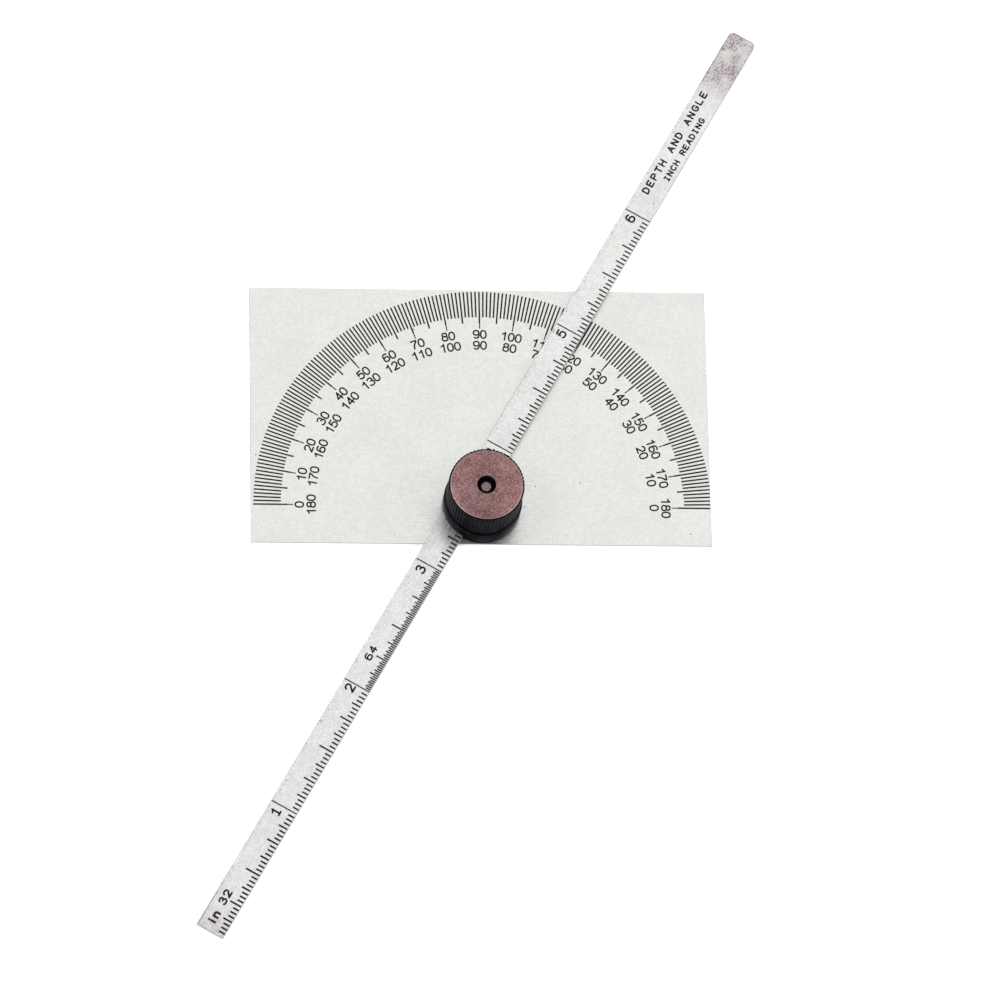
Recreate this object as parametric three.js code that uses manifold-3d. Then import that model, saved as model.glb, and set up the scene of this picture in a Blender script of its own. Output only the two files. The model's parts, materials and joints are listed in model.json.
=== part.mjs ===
// Protractor with a sliding depth-gauge blade.
//
// A rectangular steel head carries a pivot in its lower middle. A narrow rule lies on the head's
// face and passes under a turret at the pivot, where one knurled nut locks both its slide and its
// swivel. The rule's graduated edge runs exactly through the pivot axis.
//
// Millimetres. The origin is on the pivot axis at the head's back face, +X runs along the head's
// straight base edge, +Y points from that edge to the 90 degree mark, and +Z points out of the
// graduated face.

import * as THREE from 'three';
import { mergeVertices } from 'three/addons/utils/BufferGeometryUtils.js';
import Module from 'manifold-3d';

// Clearances
const SLIDE_GAP = 0.05; // between flat faces that slide or seat on each other
const TURN_GAP = 0.06; // radial, between a round piece and the hole it turns in
const WASHER_GAP = 0.2; // radial, round a washer and through its hole

// Head
const HEAD_LENGTH = 80.6;
const HEAD_HEIGHT = 47.5;
const HEAD_THICKNESS = 1.2;
const HEAD_EDGE_BREAK = 0.08;
const BASE_MARGIN = 0.18; // from the collar's rim to the straight base edge

// Blade
const BLADE_LENGTH = 192.5;
const BLADE_WIDTH = 5.15;
const BLADE_THICKNESS = 1.0;
const BLADE_EDGE_BREAK = 0.06;
const BLADE_TIP_RADIUS = 0.9; // corners of the far end; the zero end is square
const ZERO_END_TO_PIVOT = 90.7; // as the blade is set at rest
const BLADE_ANGLE_DEG = 59.9; // from the base edge, as the blade is set at rest

// Clamp stud
const FLANGE_RADIUS = 4.5;
const FLANGE_THICKNESS = 0.55;
const JOURNAL_RADIUS = 2.5;
const LEDGE_THICKNESS = 0.6; // of the stud's ledge over the blade's edge
const THREAD_RADIUS = 1.5;
const TIP_FACE_RADIUS = 0.9;
const TIP_RECESS = 1.0; // the stud's end lies this far below the nut's top

// Guide collar
const COLLAR_SIDE_WALL = 1.72; // outside the blade's far edge
const COLLAR_HEIGHT = 3.7; // above the head's face
const COLLAR_CHAMFER = 0.3;

// Washers under the nut
const THRUST_WASHER_RADIUS = 4.4;
const THRUST_WASHER_THICKNESS = 0.5;
const WAVE_WASHER_WIDTH = 1.7;
const WAVE_WASHER_THICKNESS = 0.25;
const WAVE_WASHER_HEIGHT = 0.8; // as the closed nut squeezes it
const WAVE_COUNT = 3;

// Lock nut
const NUT_STEP = 0.28; // the nut's radius is smaller than the collar's by this
const NUT_HEIGHT = 7.55;
const NUT_CHAMFER = 0.2;
const HOLE_CHAMFER = 0.15;
const KNURL_PITCH = 0.69;
const KNURL_DEPTH = 0.12;
const KNURL_CREST_SHARE = 0.3; // of the pitch, flat on top of each ridge
const KNURL_ROOT_SHARE = 0.15; // of the pitch, flat between ridges

// How far a cutter passes through the faces that it opens
const CUT_OVERRUN = 1;

// Points closer than this are one corner
const MERGE_DISTANCE = 1e-4;

// Facets of a full turn
const ROUND_FACETS = 96;
const BORE_FACETS = 64;

// Worked out from the sizes above
const COLLAR_RADIUS = BLADE_WIDTH + COLLAR_SIDE_WALL;
const NUT_RADIUS = COLLAR_RADIUS - NUT_STEP;
const PIVOT_TO_BASE = COLLAR_RADIUS + BASE_MARGIN;
const FACE_Z = HEAD_THICKNESS;
const BLADE_BOTTOM_Z = FACE_Z + SLIDE_GAP;
const BLADE_TOP_Z = BLADE_BOTTOM_Z + BLADE_THICKNESS;
const CHANNEL_ROOF_Z = BLADE_TOP_Z + SLIDE_GAP;
const LEDGE_TOP_Z = CHANNEL_ROOF_Z + LEDGE_THICKNESS;
const COLLAR_TOP_Z = FACE_Z + COLLAR_HEIGHT;
const NUT_BOTTOM_Z = COLLAR_TOP_Z + SLIDE_GAP;
const NUT_TOP_Z = NUT_BOTTOM_Z + NUT_HEIGHT;
const WAVE_BOTTOM_Z = COLLAR_TOP_Z + SLIDE_GAP;
const THRUST_BOTTOM_Z = WAVE_BOTTOM_Z + WAVE_WASHER_HEIGHT + SLIDE_GAP;
const POCKET_ROOF_Z = THRUST_BOTTOM_Z + THRUST_WASHER_THICKNESS + SLIDE_GAP;
const STUD_TIP_Z = NUT_TOP_Z - TIP_RECESS;
const THREAD_BORE_RADIUS = THREAD_RADIUS + TURN_GAP;

const wasm = await Module();
wasm.setup();

// Turns a closed three.js geometry into a manifold solid.
function toSolid(geometry) {
  const bare = geometry.clone();
  bare.deleteAttribute('normal');
  bare.deleteAttribute('uv');
  const merged = mergeVertices(bare, MERGE_DISTANCE);
  return new wasm.Manifold(new wasm.Mesh({
    numProp: 3,
    vertProperties: new Float32Array(merged.attributes.position.array),
    triVerts: new Uint32Array(merged.index.array),
  }));
}

// Turns a manifold solid back into a three.js geometry.
function toGeometry(solid) {
  const mesh = solid.getMesh();
  const geometry = new THREE.BufferGeometry();
  geometry.setAttribute('position', new THREE.BufferAttribute(mesh.vertProperties, 3));
  geometry.setIndex(new THREE.BufferAttribute(mesh.triVerts, 1));
  geometry.computeVertexNormals();
  return geometry;
}

// A solid of revolution about Z from a profile of [radius, z] pairs.
function turned(profile, facets) {
  const points = profile.map(([radius, z]) => new THREE.Vector2(radius, z));
  return new THREE.LatheGeometry(points, facets).rotateX(Math.PI / 2);
}

// A washer-like ring of rectangular section about Z.
function ring(innerRadius, outerRadius, bottom, top, facets) {
  return turned([
    [innerRadius, bottom],
    [outerRadius, bottom],
    [outerRadius, top],
    [innerRadius, top],
    [innerRadius, bottom],
  ], facets);
}

// A round cutter about Z.
function roundCutter(radius, bottom, top) {
  return toSolid(turned([[0, bottom], [radius, bottom], [radius, top], [0, top]], BORE_FACETS));
}

// A box cutter between two corners.
function boxCutter(low, high) {
  const size = high.map((value, axis) => value - low[axis]);
  const centre = high.map((value, axis) => (value + low[axis]) / 2);
  return toSolid(new THREE.BoxGeometry(...size).translate(...centre));
}

// A flat plate with broken edges, extruded up from bottom.
function plateWithBrokenEdges(shape, bottom, thickness, edgeBreak, curveSegments) {
  const geometry = new THREE.ExtrudeGeometry(shape, {
    depth: thickness - 2 * edgeBreak,
    bevelEnabled: true,
    bevelThickness: edgeBreak,
    bevelSize: edgeBreak,
    bevelOffset: -edgeBreak,
    bevelSegments: 1,
    curveSegments,
  });
  return geometry.translate(0, 0, bottom + edgeBreak);
}

// The head: a rectangle with the pivot hole and a recess behind it for the stud's flange.
function headPlateGeometry() {
  const shape = new THREE.Shape();
  shape.moveTo(-HEAD_LENGTH / 2, -PIVOT_TO_BASE);
  shape.lineTo(HEAD_LENGTH / 2, -PIVOT_TO_BASE);
  shape.lineTo(HEAD_LENGTH / 2, HEAD_HEIGHT - PIVOT_TO_BASE);
  shape.lineTo(-HEAD_LENGTH / 2, HEAD_HEIGHT - PIVOT_TO_BASE);
  shape.closePath();
  const plate = toSolid(plateWithBrokenEdges(shape, 0, HEAD_THICKNESS, HEAD_EDGE_BREAK, 1));
  const pivotHole = roundCutter(
    JOURNAL_RADIUS + TURN_GAP, -CUT_OVERRUN, HEAD_THICKNESS + CUT_OVERRUN,
  );
  const recess = roundCutter(
    FLANGE_RADIUS + TURN_GAP, -CUT_OVERRUN, FLANGE_THICKNESS + SLIDE_GAP,
  );
  return toGeometry(plate.subtract(pivotHole).subtract(recess));
}

// The blade along +X, with its graduated edge on the X axis and its body on the +Y side.
function bladeGeometry() {
  const zeroEnd = -ZERO_END_TO_PIVOT;
  const farEnd = BLADE_LENGTH - ZERO_END_TO_PIVOT;
  const cornerX = farEnd - BLADE_TIP_RADIUS;
  const shape = new THREE.Shape();
  shape.moveTo(zeroEnd, 0);
  shape.lineTo(cornerX, 0);
  shape.absarc(cornerX, BLADE_TIP_RADIUS, BLADE_TIP_RADIUS, -Math.PI / 2, 0);
  shape.lineTo(farEnd, BLADE_WIDTH - BLADE_TIP_RADIUS);
  shape.absarc(cornerX, BLADE_WIDTH - BLADE_TIP_RADIUS, BLADE_TIP_RADIUS, 0, Math.PI / 2);
  shape.lineTo(zeroEnd, BLADE_WIDTH);
  shape.closePath();
  return plateWithBrokenEdges(shape, BLADE_BOTTOM_Z, BLADE_THICKNESS, BLADE_EDGE_BREAK, 8);
}

// The stud: flush flange, journal, half-round neck beside the blade, ledge over it, threaded end.
function clampStudGeometry() {
  const tipChamfer = THREAD_RADIUS - TIP_FACE_RADIUS;
  const stud = toSolid(turned([
    [0, 0],
    [FLANGE_RADIUS, 0],
    [FLANGE_RADIUS, FLANGE_THICKNESS],
    [JOURNAL_RADIUS, FLANGE_THICKNESS],
    [JOURNAL_RADIUS, LEDGE_TOP_Z],
    [THREAD_RADIUS, LEDGE_TOP_Z],
    [THREAD_RADIUS, STUD_TIP_Z - tipChamfer],
    [TIP_FACE_RADIUS, STUD_TIP_Z],
    [0, STUD_TIP_Z],
  ], BORE_FACETS));
  const reach = JOURNAL_RADIUS + CUT_OVERRUN;
  const bladeNotch = boxCutter([-reach, -SLIDE_GAP, FACE_Z], [reach, reach, CHANNEL_ROOF_Z]);
  return toGeometry(stud.subtract(bladeNotch));
}

// The collar: a smooth ring with a channel for the blade and a stepped bore for the stud.
function guideCollarGeometry() {
  const footZ = FACE_Z + SLIDE_GAP;
  const body = toSolid(turned([
    [0, footZ],
    [COLLAR_RADIUS, footZ],
    [COLLAR_RADIUS, COLLAR_TOP_Z - COLLAR_CHAMFER],
    [COLLAR_RADIUS - COLLAR_CHAMFER, COLLAR_TOP_Z],
    [0, COLLAR_TOP_Z],
  ], ROUND_FACETS));
  const reach = COLLAR_RADIUS + CUT_OVERRUN;
  const below = footZ - CUT_OVERRUN;
  const channel = boxCutter(
    [-reach, -SLIDE_GAP, below],
    [reach, BLADE_WIDTH + SLIDE_GAP, CHANNEL_ROOF_Z],
  );
  const ledgeBore = roundCutter(JOURNAL_RADIUS + TURN_GAP, below, LEDGE_TOP_Z + SLIDE_GAP);
  const threadBore = roundCutter(THREAD_BORE_RADIUS, below, COLLAR_TOP_Z + CUT_OVERRUN);
  return toGeometry(body.subtract(channel).subtract(ledgeBore).subtract(threadBore));
}

// The wave washer: a flat ring bent up and down WAVE_COUNT times round its turn.
function waveWasherGeometry() {
  const outerRadius = THRUST_WASHER_RADIUS;
  const innerRadius = outerRadius - WAVE_WASHER_WIDTH;
  const amplitude = (WAVE_WASHER_HEIGHT - WAVE_WASHER_THICKNESS) / 2;
  const bottom = WAVE_BOTTOM_Z + amplitude;
  const top = bottom + WAVE_WASHER_THICKNESS;
  const geometry = ring(innerRadius, outerRadius, bottom, top, ROUND_FACETS);
  const position = geometry.attributes.position;
  for (let i = 0; i < position.count; i += 1) {
    const angle = Math.atan2(position.getY(i), position.getX(i));
    position.setZ(i, position.getZ(i) + amplitude * Math.cos(WAVE_COUNT * angle));
  }
  geometry.computeVertexNormals();
  return geometry;
}

// The thrust washer: a plain flat ring.
function thrustWasherGeometry() {
  const top = THRUST_BOTTOM_Z + THRUST_WASHER_THICKNESS;
  return ring(
    THREAD_RADIUS + WASHER_GAP, THRUST_WASHER_RADIUS, THRUST_BOTTOM_Z, top, BORE_FACETS,
  );
}

// The outline of a straight-knurled round: trapezoid ridges at even angles.
function knurledOutline(radius) {
  const ridges = Math.round((2 * Math.PI * radius) / KNURL_PITCH);
  const turn = (2 * Math.PI) / ridges;
  const root = radius - KNURL_DEPTH;
  const flankShare = (1 - KNURL_CREST_SHARE - KNURL_ROOT_SHARE) / 2;
  const shape = new THREE.Shape();
  for (let i = 0; i < ridges; i += 1) {
    const stations = [
      [radius, 0],
      [radius, KNURL_CREST_SHARE],
      [root, KNURL_CREST_SHARE + flankShare],
      [root, KNURL_CREST_SHARE + flankShare + KNURL_ROOT_SHARE],
    ];
    for (const [stationRadius, share] of stations) {
      const angle = (i + share) * turn;
      const x = stationRadius * Math.cos(angle);
      const y = stationRadius * Math.sin(angle);
      if (i === 0 && share === 0) shape.moveTo(x, y);
      else shape.lineTo(x, y);
    }
  }
  shape.closePath();
  return shape;
}

// The nut: a knurled round with chamfered rims, a threaded bore and a pocket for the washers.
function lockNutGeometry() {
  const knurled = new THREE.ExtrudeGeometry(knurledOutline(NUT_RADIUS), {
    depth: NUT_HEIGHT,
    bevelEnabled: false,
  });
  const body = toSolid(knurled.translate(0, 0, NUT_BOTTOM_Z));
  const rim = NUT_RADIUS + NUT_CHAMFER;
  const envelope = toSolid(turned([
    [0, NUT_BOTTOM_Z],
    [rim - 2 * NUT_CHAMFER, NUT_BOTTOM_Z],
    [rim, NUT_BOTTOM_Z + 2 * NUT_CHAMFER],
    [rim, NUT_TOP_Z - 2 * NUT_CHAMFER],
    [rim - 2 * NUT_CHAMFER, NUT_TOP_Z],
    [0, NUT_TOP_Z],
  ], ROUND_FACETS));
  const bore = toSolid(turned([
    [0, NUT_BOTTOM_Z - CUT_OVERRUN],
    [THREAD_BORE_RADIUS, NUT_BOTTOM_Z - CUT_OVERRUN],
    [THREAD_BORE_RADIUS, NUT_TOP_Z - HOLE_CHAMFER],
    [THREAD_BORE_RADIUS + 2 * HOLE_CHAMFER, NUT_TOP_Z + HOLE_CHAMFER],
    [0, NUT_TOP_Z + HOLE_CHAMFER],
  ], BORE_FACETS));
  const pocketRadius = THRUST_WASHER_RADIUS + WASHER_GAP;
  const pocket = roundCutter(pocketRadius, NUT_BOTTOM_Z - CUT_OVERRUN, POCKET_ROOF_Z);
  return toGeometry(body.intersect(envelope).subtract(bore).subtract(pocket));
}

const satinStainless = { color: 0xdfe2e0, roughness: 0.38, metalness: 0.9 };
const brightSteel = { color: 0xc9c6c2, roughness: 0.3, metalness: 1.0 };
const springSteel = { color: 0x6f6c68, roughness: 0.35, metalness: 1.0 };
const blackenedSteel = { color: 0x2b2a2c, roughness: 0.42, metalness: 0.8 };
const brownedSteel = { color: 0x5d4440, roughness: 0.45, metalness: 0.8 };

// A named mesh with its own material.
function piece(name, geometry, finish) {
  const mesh = new THREE.Mesh(geometry, new THREE.MeshStandardMaterial(finish));
  mesh.name = name;
  return mesh;
}

const turret = new THREE.Group();
turret.rotation.z = THREE.MathUtils.degToRad(BLADE_ANGLE_DEG);
turret.add(piece('blade', bladeGeometry(), satinStainless));
turret.add(piece('clamp_stud', clampStudGeometry(), brightSteel));
turret.add(piece('guide_collar', guideCollarGeometry(), blackenedSteel));
turret.add(piece('wave_washer', waveWasherGeometry(), springSteel));
turret.add(piece('thrust_washer', thrustWasherGeometry(), springSteel));
turret.add(piece('lock_nut', lockNutGeometry(), brownedSteel));

const protractor = new THREE.Group();
protractor.add(piece('head_plate', headPlateGeometry(), satinStainless));
protractor.add(turret);

export default protractor;
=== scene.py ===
"""Finished looks of a protractor with a sliding depth-gauge blade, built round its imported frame.

The head and the blade keep their own solids and get an etched scale each. The clamp stud, the guide
collar and the lock nut get turned, threaded and knurled meshes that stand for their plain solids.
All lengths are metres unless a name says otherwise.
"""

import json
import logging
import math
import random
from collections.abc import Callable, Sequence
from dataclasses import dataclass, field
from enum import Enum

import bpy
from mathutils import Matrix, Vector


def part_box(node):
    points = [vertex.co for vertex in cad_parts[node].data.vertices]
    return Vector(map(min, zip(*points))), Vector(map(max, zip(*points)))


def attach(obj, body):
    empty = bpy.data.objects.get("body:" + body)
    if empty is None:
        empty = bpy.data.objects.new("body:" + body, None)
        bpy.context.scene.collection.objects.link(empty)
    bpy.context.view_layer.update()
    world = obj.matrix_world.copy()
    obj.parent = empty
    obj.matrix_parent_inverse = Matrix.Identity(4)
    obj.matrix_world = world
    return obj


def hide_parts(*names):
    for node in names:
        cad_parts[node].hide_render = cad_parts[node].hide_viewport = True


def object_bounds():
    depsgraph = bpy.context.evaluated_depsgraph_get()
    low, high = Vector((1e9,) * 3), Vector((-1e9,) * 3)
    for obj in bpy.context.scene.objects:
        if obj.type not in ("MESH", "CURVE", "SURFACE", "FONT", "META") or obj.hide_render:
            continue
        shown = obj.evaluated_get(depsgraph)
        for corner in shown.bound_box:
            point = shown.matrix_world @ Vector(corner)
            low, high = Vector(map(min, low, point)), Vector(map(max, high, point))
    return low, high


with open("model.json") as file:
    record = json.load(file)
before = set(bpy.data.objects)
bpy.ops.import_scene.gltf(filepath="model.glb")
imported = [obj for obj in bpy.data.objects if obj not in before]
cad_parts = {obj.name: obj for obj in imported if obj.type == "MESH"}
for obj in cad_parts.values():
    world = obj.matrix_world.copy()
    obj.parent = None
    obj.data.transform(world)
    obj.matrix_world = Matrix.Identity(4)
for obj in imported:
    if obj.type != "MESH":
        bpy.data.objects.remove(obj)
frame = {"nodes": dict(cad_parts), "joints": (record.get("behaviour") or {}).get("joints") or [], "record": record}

CAD_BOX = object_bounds()
LOG = logging.getLogger("protractor")

MM = 0.001
INCH = 0.0254
FULL_TURN = 2 * math.pi

Point = tuple[float, float]
Place = tuple[float, float, float]
Scale = tuple[float, float, float]
Colour = tuple[float, float, float]
Piece = bpy.types.Object
Socket = bpy.types.NodeSocket
Material = bpy.types.Material


class Slot(Enum):
    """The record's material slots for the new pieces."""

    STUD = "turned_steel"
    COLLAR = "blackened_steel"
    NUT = "browned_steel"
    INK = "etched_black"


class Body(Enum):
    """The bodies that pieces ride on."""

    HEAD = "head"
    TURRET = "turret"
    BLADE = "blade"
    NUT = "nut"


class Tooling(Enum):
    """What a second solid does to a piece."""

    WELD = "UNION"
    CUT = "DIFFERENCE"


# ---------------------------------------------------------------------------------------------
# Places read from the frame
# ---------------------------------------------------------------------------------------------


def joint_axis(name: str) -> Vector:
    """Finds the axis of a joint.

    Args:
        name: the joint's name in the frame.

    Returns:
        The joint's unit axis.
    """
    found = next(joint for joint in frame["joints"] if joint["name"] == name)
    return Vector(found["axis"]).normalized()


def mount_position(name: str) -> Vector:
    """Finds where a mount lies.

    Args:
        name: the mount's name in the record.

    Returns:
        The mount's position.
    """
    found = next(mount for mount in frame["record"]["mounts"] if mount["name"] == name)
    return Vector(found["pos_m"])


@dataclass(frozen=True)
class BladeAxes:
    """The blade's own axes: x along it from the pivot, y from its graduated edge to its plain edge."""

    along: Vector
    across: Vector
    zero_end: float
    width: float
    top: float

    @classmethod
    def from_frame(cls) -> "BladeAxes":
        """Reads the axes from the slide joint and the mount on the blade's zero end.

        Returns:
            The axes of the blade in the frame.
        """
        along = joint_axis("blade_slide")
        across = Vector((-along.y, along.x, 0.0))
        end = mount_position("blade_zero_end")
        return cls(along, across, end.dot(along), 2 * end.dot(across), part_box("blade")[1].z)

    @property
    def angle(self) -> float:
        """The blade's angle from the head's straight edge, in radians."""
        return math.atan2(self.along.y, self.along.x)

    def matrix(self) -> Matrix:
        """The turn that carries the blade's own axes onto the frame."""
        return Matrix.Rotation(self.angle, 4, "Z")


# ---------------------------------------------------------------------------------------------
# Mesh helpers
# ---------------------------------------------------------------------------------------------


def rectangle(low: Point, high: Point) -> list[Point]:
    """The counter-clockwise outline of a rectangle between two corners."""
    return [low, (high[0], low[1]), high, (low[0], high[1])]


@dataclass
class MeshDraft:
    """Vertices and faces gathered before they become one object."""

    vertices: list[Vector] = field(default_factory=list)
    faces: list[tuple[int, ...]] = field(default_factory=list)

    def add(self, vertices: Sequence[Vector], faces: Sequence[Sequence[int]]) -> None:
        """Adds one closed body.

        Args:
            vertices: the body's points.
            faces: its faces, counted from its own first point.
        """
        start = len(self.vertices)
        self.vertices.extend(vertices)
        self.faces.extend(tuple(start + index for index in face) for face in faces)

    def add_prism(self, outline: Sequence[Point], bottom: float, top: float) -> None:
        """Adds an upright prism.

        Args:
            outline: its counter-clockwise outline.
            bottom: height of its lower face.
            top: height of its upper face.
        """
        count = len(outline)
        points = [Vector((x, y, z)) for z in (bottom, top) for x, y in outline]
        sides = [(i, (i + 1) % count, count + (i + 1) % count, count + i) for i in range(count)]
        lower = tuple(reversed(range(count)))
        upper = tuple(range(count, 2 * count))
        self.add(points, [lower, upper, *sides])

    def add_hoop(
        self, outer: Sequence[Point], inner: Sequence[Point], bottom: float, top: float,
    ) -> None:
        """Adds an upright closed band between two outlines with the same number of points.

        Args:
            outer: its counter-clockwise outer outline.
            inner: its counter-clockwise inner outline.
            bottom: height of its lower face.
            top: height of its upper face.
        """
        count = len(outer)
        loops = [(outer, bottom), (outer, top), (inner, top), (inner, bottom)]
        points = [Vector((x, y, z)) for loop, z in loops for x, y in loop]
        faces = []
        for loop in range(4):
            here, there = loop * count, (loop + 1) % 4 * count
            for i in range(count):
                step = (i + 1) % count
                faces.append((here + i, here + step, there + step, there + i))
        self.add(points, faces)

    def build(self, name: str, matrix: Matrix | None = None) -> Piece:
        """Makes the object.

        Args:
            name: the piece's name.
            matrix: an optional turn or move of all points.

        Returns:
            The new object, linked to the scene.
        """
        points = self.vertices if matrix is None else [matrix @ point for point in self.vertices]
        mesh = bpy.data.meshes.new(name)
        mesh.from_pydata([tuple(point) for point in points], [], self.faces)
        mesh.validate()
        piece = bpy.data.objects.new(name, mesh)
        bpy.context.scene.collection.objects.link(piece)
        return piece


def smooth_with_sharp_edges(piece: Piece, angle_deg: float = 32.0) -> None:
    """Shades a piece smooth except across its sharp edges.

    Args:
        piece: the piece to shade.
        angle_deg: the angle above which an edge stays sharp.
    """
    mesh = piece.data
    mesh.polygons.foreach_set("use_smooth", [True] * len(mesh.polygons))
    mesh.set_sharp_from_angle(angle=math.radians(angle_deg))


def apply_tool(piece: Piece, tool: Piece, tooling: Tooling) -> None:
    """Welds a tool to a piece or cuts it out, and removes the tool.

    Args:
        piece: the piece that is changed.
        tool: the other solid.
        tooling: what the tool does.
    """
    modifier = piece.modifiers.new("tooling", "BOOLEAN")
    modifier.operation = tooling.value
    modifier.solver = "EXACT"
    modifier.object = tool
    graph = bpy.context.evaluated_depsgraph_get()
    result = bpy.data.meshes.new_from_object(piece.evaluated_get(graph))
    piece.modifiers.clear()
    old = piece.data
    name = old.name
    piece.data = result
    bpy.data.meshes.remove(old)
    result.name = name
    bpy.data.objects.remove(tool)


@dataclass
class Revolution:
    """A closed surface of revolution whose radius may change round its turn."""

    columns: int
    rows: list[Callable[[float], Point]] = field(default_factory=list)

    def circle(self, radius: float, height: float) -> None:
        """Adds a plain round row."""
        self.rows.append(lambda turn: (radius, height))

    def shaped(self, radius_at: Callable[[float, float], float], height: float) -> None:
        """Adds a row whose radius follows a function.

        Args:
            radius_at: gives the radius for a share of a turn and a height.
            height: the row's height.
        """
        self.rows.append(lambda turn: (radius_at(turn, height), height))

    def arc(self, centre: Point, radius: float, start_deg: float, end_deg: float, steps: int) -> None:
        """Adds plain rows along a rounded edge.

        Args:
            centre: radius and height of the rounding's centre.
            radius: the rounding's radius.
            start_deg: first angle, from straight outwards, positive upwards.
            end_deg: last angle.
            steps: number of steps.
        """
        for i in range(steps + 1):
            angle = math.radians(start_deg + (end_deg - start_deg) * i / steps)
            self.circle(centre[0] + radius * math.cos(angle), centre[1] + radius * math.sin(angle))

    def draft(self, ring: bool) -> MeshDraft:
        """Builds the surface.

        Args:
            ring: True to close the last row on the first, False to cap both ends.

        Returns:
            The closed surface. Rows run anticlockwise seen in section, from the axis at the bottom.
        """
        points = []
        for row in self.rows:
            for i in range(self.columns):
                turn = i / self.columns
                radius, height = row(turn)
                angle = turn * FULL_TURN
                points.append(Vector((radius * math.cos(angle), radius * math.sin(angle), height)))
        faces = []
        count = len(self.rows)
        for r in range(count if ring else count - 1):
            here, there = r * self.columns, (r + 1) % count * self.columns
            for i in range(self.columns):
                step = (i + 1) % self.columns
                faces.append((here + i, here + step, there + step, there + i))
        if not ring:
            faces.append(tuple(reversed(range(self.columns))))
            faces.append(tuple(range((count - 1) * self.columns, count * self.columns)))
        body = MeshDraft()
        body.add(points, faces)
        return body


# ---------------------------------------------------------------------------------------------
# Numerals and letters drawn with one pen
# ---------------------------------------------------------------------------------------------


# How finely a curved stroke is drawn.
BOW_STEP_DEG = 15
FEWEST_BOW_STEPS = 4


@dataclass(frozen=True)
class Stroke:
    """One pull of the pen along a line in a cell one unit high."""

    points: tuple[Point, ...]
    closed: bool = False


def line(*points: Point) -> Stroke:
    """A stroke through straight stretches."""
    return Stroke(tuple(points))


def bow(
    centre: Point, radii: Point, start_deg: float, end_deg: float, power: float = 2.3,
) -> tuple[Point, ...]:
    """Points along part of a slightly squared oval.

    Args:
        centre: the oval's centre.
        radii: its half width and half height.
        start_deg: first angle.
        end_deg: last angle, lower than the first for a clockwise pull.
        power: 2 for an ellipse, more for squarer shoulders.

    Returns:
        The points, in order.
    """
    steps = max(FEWEST_BOW_STEPS, round(abs(end_deg - start_deg) / BOW_STEP_DEG))
    points = []
    for i in range(steps + 1):
        angle = math.radians(start_deg + (end_deg - start_deg) * i / steps)
        c, s = math.cos(angle), math.sin(angle)
        x = math.copysign(abs(c) ** (2 / power), c)
        y = math.copysign(abs(s) ** (2 / power), s)
        points.append((centre[0] + radii[0] * x, centre[1] + radii[1] * y))
    return tuple(points)


def oval(centre: Point, radii: Point) -> Stroke:
    """A closed oval stroke."""
    return Stroke(bow(centre, radii, 0, 360)[:-1], closed=True)


def turned_over(strokes: Sequence[Stroke], width: float) -> tuple[Stroke, ...]:
    """Strokes turned by half a turn inside their cell.

    Args:
        strokes: the strokes to turn.
        width: the cell's width.

    Returns:
        The turned strokes.
    """
    turned = []
    for stroke in strokes:
        points = tuple((width - x, 1 - y) for x, y in stroke.points)
        turned.append(Stroke(points, stroke.closed))
    return tuple(turned)


# Width and middle of a figure's cell, and the shapes that more than one character has.
CELL = 0.62
MIDDLE = CELL / 2
SIX = (
    oval((MIDDLE, 0.30), (MIDDLE, 0.30)),
    Stroke(bow((MIDDLE, 0.58), (MIDDLE, 0.42), 52, 180) + ((0.0, 0.30),)),
)
BOWL = ((0.0, 1.0),) + bow((0.32, 0.74), (0.30, 0.26), 90, -90) + ((0.0, 0.48),)

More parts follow.
